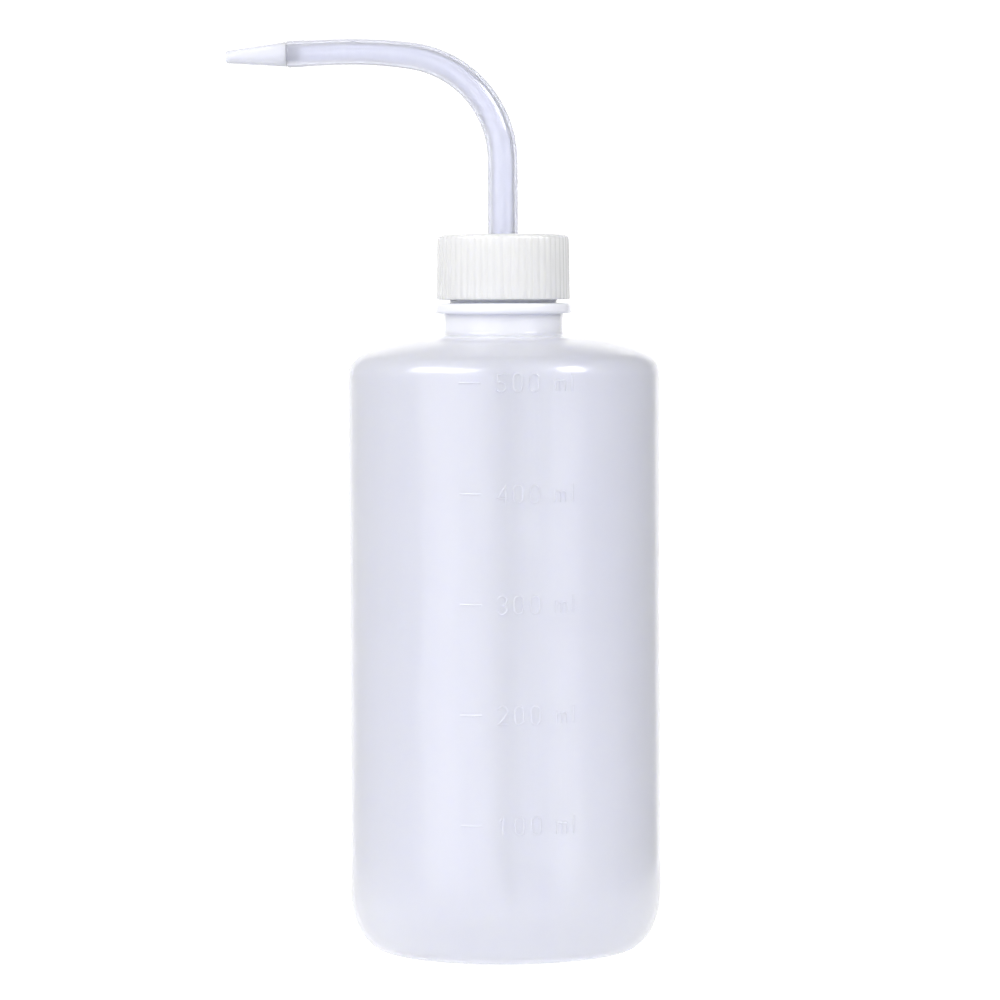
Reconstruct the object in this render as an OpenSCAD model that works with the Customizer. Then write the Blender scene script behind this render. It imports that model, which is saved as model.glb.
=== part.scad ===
// Squeeze wash bottle, 500 ml: a blow-moulded bottle, a screw cap with its liner,
// a plug that seals the mouth, a bent spout with a tapered nozzle, and a dip tube.
// Millimetres, +Z up. The origin is on the bottle's axis, where the bottle stands,
// and the spout points along -X.

/* [Bottle] */
// Outside diameter of the body
body_d = 74; // [68:1:80]
// Height at which the straight wall ends and the shoulder begins
shoulder_z = 136.4; // [110:0.1:170]
// Wall thickness of the body, shoulder and lower neck
wall_t = 1.5; // [1:0.1:1.8]
// Thickness of the floor
floor_t = 1.6; // [1.2:0.1:2.2]
// Width of the rounding between wall and base
base_round_w = 8; // [6:0.1:12]
// Height of the rounding between wall and base
base_round_h = 15; // [10:0.1:20]
// Depth of the recess in the underside
push_up = 5.5; // [2:0.1:7]
// Width of the flat ring that the bottle stands on
foot_w = 4; // [3:0.5:6]
// Width of the rounding between foot and recess
recess_round = 9; // [7:0.5:12]
// Radius of the corner between wall and shoulder
shoulder_r = 5.6; // [4.5:0.1:8]
// Angle turned by that corner before the domed shoulder takes over
shoulder_turn = 64; // [58:1:70]

/* [Graduations] */
// Height of the 100 ml mark
mark_first = 33.2; // [30:0.1:40]
// Distance from one 100 ml mark to the next
mark_step = 25.5; // [24:0.1:27]
// Number of marks
mark_count = 5; // [1:1:5]
// How far the marks stand out
mark_relief = 0.2; // [0.1:0.05:0.3]
// Height of the figures
figure_h = 4.7; // [4:0.1:5]
// Distance from one figure to the next
figure_pitch = 3.8; // [3.7:0.1:4.6]
// Where the first figure starts, to the right of the bottle's middle
figure_x = -1.9; // [-4:0.1:2]
// Width of the tick beside the figures
tick_w = 5; // [3:0.1:8]
// Gap between the tick and the figures
tick_gap = 3.4; // [1:0.1:5]

/* [Neck] */
// Outside diameter of the neck under the bead
neck_d = 28.3; // [27:0.1:30]
// Radius of the fillet between shoulder and neck
neck_fillet = 1; // [0.6:0.1:2]
// Height of the plain neck, from shoulder to bead
neck_h = 5.1; // [3:0.1:8]
// Outside diameter of the bead
bead_d = 32.4; // [31:0.1:34]
// Height of the bead
bead_h = 2.5; // [2:0.1:3.4]
// Height of the threaded finish, from bead to rim
finish_h = 12.9; // [12.5:0.1:13.5]
// Diameter of the finish at the thread's root
finish_d = 25.3; // [25:0.1:25.5]
// Diameter of the mouth
mouth_d = 21.5; // [20:0.1:22]

/* [Thread] */
// Rise of the thread in one turn
thread_pitch = 4.2; // [4:0.1:4.4]
// Turns of thread on the neck
neck_turns = 1.75; // [1.25:0.25:1.75]
// Turns of thread in the cap
cap_turns = 1.5; // [1:0.25:1.5]
// How far each thread stands out from its wall
thread_depth = 1; // [0.8:0.05:1.05]

/* [Cap] */
// Outside diameter over the ribs
cap_d = 31.7; // [31:0.1:33]
// Height of the cap
cap_h = 15.5; // [15:0.1:16]
// Thickness of the cap's roof
roof_t = 1.4; // [1.2:0.1:2]
// Number of grip ribs
rib_count = 54; // [40:2:70]
// Depth of the grooves between the ribs
rib_depth = 0.3; // [0.2:0.05:0.5]
// How much slimmer the cap is at its top, on the radius
cap_draft = 0.15; // [0:0.05:0.2]
// Diameter of the hole that the spout comes through
cap_hole_d = 7.9; // [7.7:0.1:8.4]

/* [Plug and liner] */
// Thickness of the liner in the cap's roof
liner_t = 0.8; // [0.6:0.1:1]
// Diameter of the plug's flange, which lies on the rim
flange_d = 24.8; // [24:0.1:25.2]
// Thickness of the flange
flange_t = 1.2; // [1:0.1:1.8]
// Length of the sealing skirt inside the mouth
skirt_h = 6.8; // [5:0.1:8]
// Diameter of the boss that holds spout and dip tube
boss_d = 10.4; // [9.6:0.1:11]
// Depth of the socket for the spout, under the flange's top
spout_socket = 10; // [8:0.5:11]
// Depth of the socket for the dip tube
dip_socket = 6; // [5:0.5:8]

/* [Spout] */
// Diameter of the spout up to the bend
spout_base_d = 7.2; // [7:0.1:7.4]
// Diameter of the spout after the taper
spout_d = 6.2; // [6:0.1:6.5]
// Diameter of the bore up to the bend
bore_base_d = 4.6; // [3.6:0.1:4.8]
// Diameter of the bore after the taper
bore_d = 3.6; // [3:0.1:3.8]
// Height of the straight part above the flange
spout_rise = 19.7; // [15:0.1:40]
// Radius of the main bend
bend_r = 25; // [18:1:30]
// Angle turned by the main bend
bend_turn = 82; // [60:1:84]
// Radius of the slack bend that follows
sweep_r = 104; // [60:1:140]
// Angle turned by the slack bend
sweep_turn = 10.5; // [6:0.5:14]
// Length over which the spout tapers, from the start of the bend
taper_l = 44; // [20:1:52]
// Length of the straight run to the nozzle
spout_run = 10.5; // [9:0.1:30]
// Swell of the spout's diameter where it holds the nozzle
swell = 0.2; // [0.1:0.05:0.4]

/* [Nozzle and dip tube] */
// Length of the nozzle's cone
nozzle_l = 14.4; // [10:0.1:20]
// Diameter of the cone where it meets the spout
nozzle_base_d = 5.9; // [5:0.1:6]
// Diameter of the cone at its end
nozzle_end_d = 3; // [2.6:0.1:3.4]
// Diameter of the outlet
outlet_d = 1.2; // [0.8:0.1:1.6]
// Length of the spigot pushed into the spout
nozzle_spigot = 3; // [2:0.5:9]
// Outside diameter of the dip tube
dip_d = 6; // [5:0.1:6.4]
// Bore of the dip tube
dip_bore_d = 4; // [3:0.1:4.2]
// Gap between the dip tube's end and the floor
dip_gap = 2.5; // [2:0.5:10]
// Slant of the cut at the dip tube's end
dip_cut = 35; // [0:5:45]

/* [Hidden] */
$fn = 64;
eps = 0.01;
run_gap = 0.03;       // radial clearance of pieces that turn or slide in each other
seat_gap = 0.02;      // clearance of pieces pushed together or lying on each other

body_r = body_d / 2;
neck_r = neck_d / 2;
finish_r = finish_d / 2;
mouth_r = mouth_d / 2;
bead_r = bead_d / 2;
cap_r = cap_d / 2;
foot_out_r = body_r - base_round_w;
foot_in_r = foot_out_r - foot_w;

// The shoulder is a corner arc that runs into a dome, level where the neck's fillet begins.
corner_c = [body_r - shoulder_r, shoulder_z];
corner_end = corner_c + shoulder_r * [cos(shoulder_turn), sin(shoulder_turn)];
dome_r = (corner_end.x - neck_r - neck_fillet) / cos(shoulder_turn);
dome_c = corner_end - dome_r * [cos(shoulder_turn), sin(shoulder_turn)];
dome_top = dome_c.y + dome_r;

// Levels up the neck and the closure
fillet_c = [neck_r + neck_fillet, dome_top + neck_fillet];
bead_z = dome_top + neck_h;
bead_top = bead_z + bead_h;
bead_round = 0.8;
rim_z = bead_top + finish_h;
rim_chamfer = 0.5;
flange_top = rim_z + flange_t;
roof_z = flange_top + liner_t;
cap_top = roof_z + roof_t;
cap_z = cap_top - cap_h;

// Thread: both helices share one pitch, and the cap's ribs lie just under the neck's.
thread_steps = 36;    // steps in one turn
thread_fade = 5;      // steps over which a thread runs out at each end
thread_root_h = 2;
thread_crest_h = 0.8;
thread_root = 0.35;   // how far a thread is rooted in its wall
thread_lag = 1.3;     // the cap thread's centre under the neck thread's
thread_end = 1.6;     // from the end of the neck's thread to the rim
thread_play = 0.3;    // from a thread's crest to the other piece's wall
neck_thread_z = rim_z - neck_turns * thread_pitch - thread_end;
cap_thread_z = neck_thread_z - thread_lag;
cap_wall_r = finish_r + thread_depth + thread_play;
cap_round = 1.4;
// One groove and one rib: [share of a step, share of the groove's depth]
rib_profile = [[0, 1], [0.34, 1], [0.5, 0], [0.84, 0]];

// Plug
boss_r = boss_d / 2;
skirt_t = 1.2;
spout_spigot_r = spout_d / 2;
spout_socket_z = flange_top - spout_socket;
land_h = 2;
dip_top = spout_socket_z - land_h;
boss_z = dip_top - dip_socket;
liner_play = 0.7;     // between the liner and the cap's wall
liner_r = cap_wall_r - liner_play;
liner_hole_gap = 0.5; // between the liner and the spout
liner_hole_r = spout_base_d / 2 + liner_hole_gap;

// Spout: its centre line in the XZ plane
bend_top = flange_top + spout_rise;
bend_c = [-bend_r, bend_top];
sweep_c = bend_c + (bend_r - sweep_r) * [cos(bend_turn), sin(bend_turn)];
turn = bend_turn + sweep_turn;
run_start = sweep_c + sweep_r * [cos(turn), sin(turn)];
bore_r = bore_d / 2;
bore_base_r = bore_base_d / 2;
ring_n = 40;          // sides of the rings that the tapered bend is built on
ring_gap = 0.02;      // the rings lie this far inside the round pieces they meet
lap = 0.02;           // and the round pieces lap over them by this much
tube_edge = 0.3;      // bevel at the ends of the spout and the spigot
lead_w = 0.4;         // lead-in at the foot of the spout
lead_h = 0.8;
swell_l = 5;          // length of the swell over the nozzle
swell_ramp = 1.5;     // and of its ramp

// Nozzle
nozzle_round = 0.5;
spigot_t = 0.5;       // wall thickness of the spigot
spigot_lead = 0.6;
outlet_l = 5;         // length of the outlet's straight bore

// Shapes of the figures
stroke = 0.6;         // line width
bow_share = 0.28;     // radius of a bow, as a share of the figure's height
flag = [1, 0.9];      // flag of the 1
arm_z = 1.4;          // arm of the 4
post_share = 1.7;     // post of the 4, from the left, as a share of a bow
arm_share = 2.2;      // end of its arm
spine_in = 0.2;       // spine of the 5, in from the left
belly = 0.1;          // how much the belly of the 5 is larger than a bow
small_share = 0.68;   // height of the m, as a share of the figure's height
hoop = 0.6;           // radius of the hoops of the m
unit_step = 1.5;      // from the m to the l
unit_gap = 2;         // space before the unit, past a figure's pitch
mark_margin = 10;     // cutting room around the marks

plastic = [0.88, 0.89, 0.94];
cap_plastic = [0.93, 0.94, 0.97];
liner_foam = [0.97, 0.97, 0.96];

// Points along an arc of an ellipse, c the centre and r its two radii.
function arc(c, r, from, to, n = 12) = [
  for (i = [0:n])
    let (a = from + (to - from) * i / n)
      [c.x + r.x * cos(a), c.y + r.y * sin(a)]
];

// A tube along +Z from z = 0.
module tube(h, outer, inner) {
  linear_extrude(h)
    difference() {
      circle(outer);
      circle(inner);
    }
}

// A helical rib that grows from a wall of radius wall_r by depth, outwards where
// depth is positive and inwards where it is negative, and runs out at both ends.
module helical_rib(wall_r, depth, z, turns) {
  steps = ceil(turns * thread_steps);
  root_r = wall_r - sign(depth) * thread_root;
  end_r = wall_r - sign(depth) * thread_root / 2;
  section = [for (i = [0:steps])
    let (
      a = 360 * turns * i / steps,
      h = z + thread_pitch * turns * i / steps,
      full = min(1, i / thread_fade, (steps - i) / thread_fade),
      crest_r = end_r + (wall_r + depth - end_r) * full
    ) each [
      [root_r * cos(a), root_r * sin(a), h - thread_root_h / 2],
      [crest_r * cos(a), crest_r * sin(a), h - thread_crest_h / 2],
      [crest_r * cos(a), crest_r * sin(a), h + thread_crest_h / 2],
      [root_r * cos(a), root_r * sin(a), h + thread_root_h / 2],
    ]];
  sides = [for (i = [0:steps - 1], k = [0:3])
    let (a = 4 * i + k, b = 4 * i + (k + 1) % 4)
      each [[a, b, b + 4], [a, b + 4, a + 4]]];
  last = 4 * steps;
  ends = [[0, 2, 1], [0, 3, 2], [last, last + 1, last + 2], [last, last + 2, last + 3]];
  faces = concat(sides, ends);
  turned = [for (f = faces) [f[0], f[2], f[1]]];
  polyhedron(section, depth > 0 ? faces : turned);
}

// A straight stroke of a figure.
module bar(from, to) {
  along = to - from;
  side = stroke / 2 * [-along.y, along.x] / norm(along);
  polygon([from + side, to + side, to - side, from - side]);
}

// A curved stroke: part of a ring about c.
module bow(c, r, from, to) {
  w = stroke / 2;
  polygon(concat(
    arc(c, [r + w, r + w], from, to, 10),
    arc(c, [r - w, r - w], to, from, 10)
  ));
}

// A figure from 0 to 5, in a cell figure_h high with its corner at the origin.
module figure(n) {
  w = stroke / 2;
  top = figure_h - w;
  r = figure_h * bow_share - w;
  mid = r + w;
  if (n == 0) {
    bow([mid, top - r], r, 0, 180);
    bow([mid, w + r], r, 180, 360);
    for (x = [w, 2 * mid - w]) bar([x, w + r], [x, top - r]);
  }
  if (n == 1) {
    bar([mid, 0], [mid, figure_h]);
    bar([mid, top] - flag, [mid, top]);
  }
  if (n == 2) {
    bow([mid, top - r], r, -30, 180);
    bar([mid + r * cos(30), top - r - r * sin(30)], [w, w]);
    bar([0, w], [2 * mid, w]);
  }
  if (n == 3)
    for (up = [0, 1])
      let (q = (top - w) / 4)
        bow([mid, w + q + 2 * q * up], q, up ? -90 : -160, up ? 160 : 90);
  if (n == 4) {
    bar([post_share * mid, 0], [post_share * mid, figure_h]);
    bar([post_share * mid, top], [w, arm_z]);
    bar([0, arm_z], [arm_share * mid, arm_z]);
  }
  if (n == 5) {
    bow([mid - belly, w + r + belly], r + belly, -150, 130);
    bar([w + spine_in, figure_h / 2], [w + spine_in, figure_h]);
    bar([w, top], [2 * mid - spine_in, top]);
  }
}

// The unit, "ml", with its corner at the origin.
module unit() {
  w = stroke / 2;
  r = hoop;
  m_h = figure_h * small_share;
  for (i = [0, 1, 2]) bar([w + 2 * r * i, 0], [w + 2 * r * i, m_h - r]);
  for (i = [0, 1]) bow([w + r + 2 * r * i, m_h - r - w], r, 0, 180);
  translate([w + 4 * r + unit_step, 0]) bar([0, 0], [0, figure_h]);
}

// One mark, centred on height 0: a tick, the figures and the unit.
module mark(n) {
  bar([figure_x - tick_gap - tick_w, 0], [figure_x - tick_gap, 0]);
  translate([figure_x, -figure_h / 2]) {
    for (i = [0:2]) translate([figure_pitch * i, 0]) figure(i == 0 ? n : 0);
    translate([figure_pitch * 3 + unit_gap, 0]) unit();
  }
}

// The graduations, raised on the front of the wall.
module marks() {
  intersection() {
    rotate([90, 0, 0])
      linear_extrude(body_r + 2 * mark_relief)
        for (n = [1:mark_count])
          translate([0, mark_first + mark_step * (n - 1)]) mark(n);
    translate([0, 0, mark_first - mark_margin])
      tube(mark_step * mark_count + 2 * mark_margin, body_r + mark_relief, body_r - wall_t / 2);
  }
}

module bottle() {
  inner_neck_r = neck_r - wall_t;
  recess_c = [foot_in_r - recess_round, 0];
  recess_r = [recess_round, push_up];
  inner_r = recess_r + [floor_t, floor_t];
  outline = concat(
    [[0, push_up]],
    arc(recess_c, recess_r, 90, 0, 10),
    arc([foot_out_r, base_round_h], [base_round_w, base_round_h], -90, 0, 18),
    arc(corner_c, [shoulder_r, shoulder_r], 0, shoulder_turn, 12),
    arc(dome_c, [dome_r, dome_r], shoulder_turn, 90, 12),
    arc(fillet_c, [neck_fillet, neck_fillet], 270, 180, 5),
    [[neck_r, bead_z]],
    arc([bead_r - bead_round, bead_z + bead_round], [bead_round, bead_round], -90, 0, 5),
    arc([bead_r - bead_round, bead_top - bead_round], [bead_round, bead_round], 0, 90, 5),
    [[finish_r, bead_top], [finish_r, rim_z - rim_chamfer], [finish_r - rim_chamfer, rim_z]],
    [[mouth_r + rim_chamfer, rim_z], [mouth_r, rim_z - rim_chamfer]],
    [[mouth_r, bead_top], [inner_neck_r, bead_z]],
    arc(fillet_c, [neck_fillet + wall_t, neck_fillet + wall_t], 180, 270, 5),
    arc(dome_c, [dome_r - wall_t, dome_r - wall_t], 90, shoulder_turn, 12),
    arc(corner_c, [shoulder_r - wall_t, shoulder_r - wall_t], shoulder_turn, 0, 12),
    arc([foot_out_r, base_round_h], [base_round_w - wall_t, base_round_h - floor_t], 0, -90, 18),
    arc(recess_c, inner_r, asin(floor_t / inner_r.y), 90, 10),
    [[0, push_up + floor_t]]
  );
  color(plastic)
    union() {
      rotate_extrude() polygon(outline);
      helical_rib(finish_r, thread_depth, neck_thread_z, neck_turns);
      marks();
    }
}

// Outline of the cap seen from above: one groove and one rib in each step.
module ribbed_disc() {
  step = 360 / rib_count;
  polygon([
    for (i = [0:rib_count - 1], p = rib_profile)
      let (a = step * (i + p.x), r = cap_r - rib_depth * p.y)
        [r * cos(a), r * sin(a)]
  ]);
}

module screw_cap() {
  body_outline = concat(
    [[0, cap_z], [cap_r, cap_z]],
    arc([cap_r - cap_draft - cap_round, cap_top - cap_round], [cap_round, cap_round], 0, 90, 6),
    [[0, cap_top]]
  );
  color(cap_plastic)
    union() {
      difference() {
        intersection() {
          translate([0, 0, cap_z]) linear_extrude(cap_h) ribbed_disc();
          rotate_extrude() polygon(body_outline);
        }
        translate([0, 0, cap_z - eps]) cylinder(h = roof_z - cap_z + eps, r = cap_wall_r);
        translate([0, 0, roof_z - eps]) cylinder(h = roof_t + 2 * eps, d = cap_hole_d);
      }
      helical_rib(cap_wall_r, -thread_depth, cap_thread_z, cap_turns);
    }
}

module cap_liner() {
  color(liner_foam)
    translate([0, 0, flange_top + seat_gap])
      tube(liner_t - 2 * seat_gap, liner_r, liner_hole_r);
}

module plug() {
  skirt_r = mouth_r - run_gap;
  color(plastic)
    difference() {
      union() {
        translate([0, 0, rim_z + seat_gap])
          cylinder(h = flange_t - seat_gap, d = flange_d);
        translate([0, 0, rim_z - skirt_h])
          cylinder(h = skirt_h + 2 * seat_gap, r = skirt_r);
        translate([0, 0, boss_z]) cylinder(h = rim_z - boss_z + 2 * seat_gap, r = boss_r);
      }
      translate([0, 0, rim_z - skirt_h - eps])
        tube(skirt_h + eps, skirt_r - skirt_t, boss_r);
      translate([0, 0, spout_socket_z])
        cylinder(h = spout_socket + eps, r = spout_spigot_r + run_gap);
      translate([0, 0, dip_top - eps]) cylinder(h = land_h + 2 * eps, r = bore_base_r);
      translate([0, 0, boss_z - eps])
        cylinder(h = dip_socket + eps, r = dip_d / 2 + seat_gap);
    }
}

// Places its children at the spout's far end, along the run towards the nozzle.
module at_run() {
  translate([run_start.x, 0, run_start.y]) rotate([0, -turn, 0]) children();
}

// One station on the spout's centre line: where it is after turning through angle a,
// and how far along the bends that is.
function bend_point(a) = a <= bend_turn
  ? bend_c + bend_r * [cos(a), sin(a)]
  : sweep_c + sweep_r * [cos(a), sin(a)];
function bend_length(a) =
  (bend_r * min(a, bend_turn) + sweep_r * max(0, a - bend_turn)) * PI / 180;

// The tapered bend: rings of points, an outer and an inner one at every station.
module tapered_bend() {
  stations = concat(
    [for (i = [0:19]) bend_turn * i / 20],
    [for (i = [0:6]) bend_turn + sweep_turn * i / 6]
  );
  count = len(stations);
  points = [for (a = stations)
    let (
      c = bend_point(a),
      thin = min(1, bend_length(a) / taper_l),
      outer = (spout_base_d + (spout_d - spout_base_d) * thin) / 2 - ring_gap,
      bore = (bore_base_d + (bore_d - bore_base_d) * thin) / 2,
      inner = bore / cos(180 / ring_n) + ring_gap / 4
    )
      for (r = [outer, inner], k = [0:ring_n - 1])
        let (t = 360 * k / ring_n)
          [c.x + r * cos(t) * cos(a), r * sin(t), c.y + r * cos(t) * sin(a)]];
  row = 2 * ring_n;
  faces = concat(
    [for (i = [0:count - 2], side = [0, 1], k = [0:ring_n - 1])
      let (
        a = i * row + side * ring_n + k,
        b = i * row + side * ring_n + (k + 1) % ring_n,
        quad = [[a, b, b + row], [a, b + row, a + row]]
      ) each (side == 0 ? [for (f = quad) [f[0], f[2], f[1]]] : quad)],
    [for (end = [0, 1], k = [0:ring_n - 1])
      let (
        at = end * (count - 1) * row,
        a = at + k,
        b = at + (k + 1) % ring_n,
        quad = [[a, b, b + ring_n], [a, b + ring_n, a + ring_n]]
      ) each (end == 1 ? [for (f = quad) [f[0], f[2], f[1]]] : quad)]
  );
  polyhedron(points, faces);
}

module spout_tube() {
  base_r = spout_base_d / 2;
  foot = flange_top - spout_socket + seat_gap;
  sit = flange_top + seat_gap;
  end_r = spout_spigot_r + swell / 2;
  color(plastic)
    union() {
      rotate_extrude()
        polygon([
          [bore_base_r, foot], [spout_spigot_r - lead_w, foot], [spout_spigot_r, foot + lead_h],
          [spout_spigot_r, sit], [base_r - tube_edge, sit], [base_r, sit + tube_edge],
          [base_r, bend_top + lap], [bore_base_r, bend_top + lap]
        ]);
      tapered_bend();
      at_run()
        rotate_extrude()
          polygon([
            [bore_r, -lap], [spout_spigot_r, -lap], [spout_spigot_r, spout_run - swell_l],
            [end_r, spout_run - swell_l + swell_ramp], [end_r, spout_run - tube_edge],
            [end_r - tube_edge, spout_run], [bore_r, spout_run]
          ]);
    }
}

module nozzle_tip() {
  base_r = nozzle_base_d / 2;
  end_r = nozzle_end_d / 2;
  spigot_r = bore_r - seat_gap;
  outlet_r = outlet_d / 2;
  throat_r = spigot_r - spigot_t;
  outline = concat(
    [[throat_r, -nozzle_spigot], [spigot_r - tube_edge, -nozzle_spigot]],
    [[spigot_r, spigot_lead - nozzle_spigot]],
    [[spigot_r, seat_gap], [base_r, seat_gap]],
    arc([end_r - nozzle_round, nozzle_l - nozzle_round], [nozzle_round, nozzle_round], 0, 90, 6),
    [[outlet_r, nozzle_l], [outlet_r, nozzle_l - outlet_l], [throat_r, 0]]
  );
  color(plastic)
    at_run() translate([0, 0, spout_run]) rotate_extrude() polygon(outline);
}

module dip_tube() {
  floor_z = push_up + floor_t;
  foot = floor_z + dip_gap;
  color(plastic)
    difference() {
      translate([0, 0, foot]) tube(dip_top - seat_gap - foot, dip_d / 2, dip_bore_d / 2);
      translate([dip_d / 2, 0, foot])
        rotate([0, dip_cut, 0])
          translate([-3 * dip_d, -dip_d, -2 * dip_d]) cube([6 * dip_d, 2 * dip_d, 2 * dip_d]);
    }
}

bottle();
screw_cap();
cap_liner();
plug();
spout_tube();
nozzle_tip();
dip_tube();
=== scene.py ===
"""A squeeze wash bottle: bottle, screw cap, liner, plug, spout, nozzle and dip tube, in a plain studio.

Lengths are in metres, +Z is up, and the spout points along -X.
"""

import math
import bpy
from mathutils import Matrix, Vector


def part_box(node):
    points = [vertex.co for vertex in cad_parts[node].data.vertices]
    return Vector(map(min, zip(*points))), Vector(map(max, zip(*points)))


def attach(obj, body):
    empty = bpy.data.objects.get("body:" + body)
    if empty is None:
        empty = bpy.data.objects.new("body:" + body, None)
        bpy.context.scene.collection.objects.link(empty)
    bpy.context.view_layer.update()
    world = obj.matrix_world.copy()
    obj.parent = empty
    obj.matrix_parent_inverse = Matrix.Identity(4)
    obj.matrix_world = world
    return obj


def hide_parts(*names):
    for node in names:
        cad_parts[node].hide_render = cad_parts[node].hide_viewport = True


bl_info = {
    "name": "Wash Bottle",
    "version": (1, 0, 0),
    "blender": (4, 5, 0),
    "location": "View3D > Sidebar > Wash Bottle",
    "description": "Builds a squeeze wash bottle piece by piece around its fixed frame",
    "category": "Add Mesh",
}

import bpy
import bmesh
from bpy.props import FloatProperty, FloatVectorProperty, IntProperty, PointerProperty
from bpy.types import Operator, Panel, PropertyGroup
from mathutils import Matrix, Vector

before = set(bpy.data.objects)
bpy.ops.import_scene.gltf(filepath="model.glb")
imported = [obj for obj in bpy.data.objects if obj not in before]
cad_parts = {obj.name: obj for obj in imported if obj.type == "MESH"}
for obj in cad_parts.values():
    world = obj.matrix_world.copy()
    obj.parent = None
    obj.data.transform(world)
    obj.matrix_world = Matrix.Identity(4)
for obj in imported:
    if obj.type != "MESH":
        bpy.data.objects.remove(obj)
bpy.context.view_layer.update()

MM = 0.001
BOTTLE_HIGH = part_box("bottle")[1]
CAP_LOW, CAP_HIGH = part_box("screw_cap")
LINER_LOW, LINER_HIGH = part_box("cap_liner")
PLUG_LOW, PLUG_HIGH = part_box("plug")
SPOUT_LOW, SPOUT_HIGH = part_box("spout_tube")
DIP_LOW, DIP_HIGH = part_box("dip_tube")


def length(name, description, default):
    """A length that the user can change, in metres."""
    return FloatProperty(
        name=name, description=description, default=default, unit="LENGTH", precision=5
    )


def angle(name, description, degrees):
    """An angle that the user can change."""
    return FloatProperty(
        name=name, description=description, default=math.radians(degrees), subtype="ANGLE"
    )


def amount(name, description, default):
    """A plain number that the user can change."""
    return FloatProperty(name=name, description=description, default=default)


def tint(name, description, default):
    """A colour that the user can change."""
    return FloatVectorProperty(
        name=name, description=description, default=default, subtype="COLOR", size=3, min=0, max=1
    )


class BottleShape(PropertyGroup):
    """Sizes of the blow-moulded bottle."""

    radius: length("Radius", "Outside radius of the body", BOTTLE_HIGH.x)
    rim: length("Rim", "Height of the rim", BOTTLE_HIGH.z)
    wall: length("Wall", "Thickness of the body's wall", 1.5 * MM)
    floor: length("Floor", "Thickness of the floor", 1.6 * MM)
    base_width: length("Base rounding width", "Width of the rounding of the base", 8 * MM)
    base_height: length("Base rounding height", "Height of the rounding of the base", 15 * MM)
    foot: length("Foot", "Width of the ring that the bottle stands on", 4 * MM)
    push_up: length("Push-up", "Depth of the recess in the underside", 5.5 * MM)
    recess: length("Recess rounding", "Width of the rounding from foot to recess", 9 * MM)
    shoulder: length("Shoulder", "Height where the straight wall ends", 136.4 * MM)
    corner: length("Corner", "Radius of the corner between wall and shoulder", 5.6 * MM)
    corner_turn: angle("Corner turn", "Angle that the corner turns before the dome starts", 64)
    neck: length("Neck", "Outside radius of the neck", 14.15 * MM)
    fillet: length("Fillet", "Radius between the shoulder and the neck", 1 * MM)
    bead: length("Bead", "Outside radius of the bead", 16.2 * MM)
    bead_height: length("Bead height", "Height of the bead", 2.5 * MM)
    finish: length("Finish", "Radius of the neck at the thread's root", 12.65 * MM)
    finish_height: length("Finish height", "Height from the bead to the rim", 12.9 * MM)
    mouth: length("Mouth", "Radius of the mouth", 10.75 * MM)


class MarkShape(PropertyGroup):
    """Sizes of the raised graduations."""

    first: length("First mark", "Height of the 100 ml mark", 33.2 * MM)
    step: length("Step", "Distance between two marks", 25.5 * MM)
    count: IntProperty(name="Count", description="Number of marks", default=5, min=1, max=5)
    relief: length("Relief", "How far the marks stand out", 0.2 * MM)
    figure: length("Figure", "Height of the figures", 4.7 * MM)
    pitch: length("Pitch", "Distance from one figure to the next", 3.8 * MM)
    start: length("Start", "Where the first figure starts", -1.9 * MM)
    stroke: length("Stroke", "Width of a stroke", 0.6 * MM)
    unit_gap: length("Unit gap", "Space before the unit", 2 * MM)
    tick: length("Tick", "Width of the tick", 5 * MM)
    tick_gap: length("Tick gap", "Gap between the tick and the figures", 3.4 * MM)


class ThreadShape(PropertyGroup):
    """Sizes of the screw thread on the neck and in the cap."""

    pitch: length("Pitch", "Rise of the thread in one turn", 4.2 * MM)
    depth: length("Depth", "How far a thread stands out from its wall", 1 * MM)
    root: length("Root", "Height of the thread at its wall", 2 * MM)
    crest: length("Crest", "Height of the thread at its crest", 0.8 * MM)
    sunk: length("Sunk", "How far a thread is sunk in its wall", 0.35 * MM)
    neck_turns: amount("Neck turns", "Turns of thread on the neck", 1.75)
    cap_turns: amount("Cap turns", "Turns of thread in the cap", 1.5)
    below_rim: length("Below rim", "From the rim to the end of the neck's thread", 1.6 * MM)
    lag: length("Lag", "How far the cap's thread lies under the neck's", 1.3 * MM)


class ClosureShape(PropertyGroup):
    """Sizes of the cap, its liner and the plug."""

    cap_radius: length("Cap radius", "Outside radius of the cap over its ribs", 15.85 * MM)
    cap_draft: length("Draft", "How much slimmer the cap is at its top", 0.15 * MM)
    cap_corner: length("Cap corner", "Radius of the cap's top edge", 1.4 * MM)
    roof: length("Roof", "Thickness of the cap's roof", 1.4 * MM)
    hole: length("Hole", "Radius of the hole in the cap", 3.95 * MM)
    bore: length("Bore", "Radius inside the cap's wall", 13.95 * MM)
    ribs: IntProperty(name="Ribs", description="Number of grip ribs", default=54, min=40, max=70)
    rib_depth: length("Rib depth", "Depth of the grooves between the ribs", 0.3 * MM)
    flange: length("Flange", "Thickness of the plug's flange", 1.2 * MM)
    skirt: length("Skirt", "Length of the plug's skirt", 6.8 * MM)
    skirt_wall: length("Skirt wall", "Thickness of the plug's skirt", 1.2 * MM)
    boss: length("Boss", "Radius of the plug's boss", 5.2 * MM)
    spout_socket: length("Spout socket", "Depth of the socket for the spout", 10 * MM)
    land: length("Land", "Height of the land between the two sockets", 2 * MM)


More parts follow.
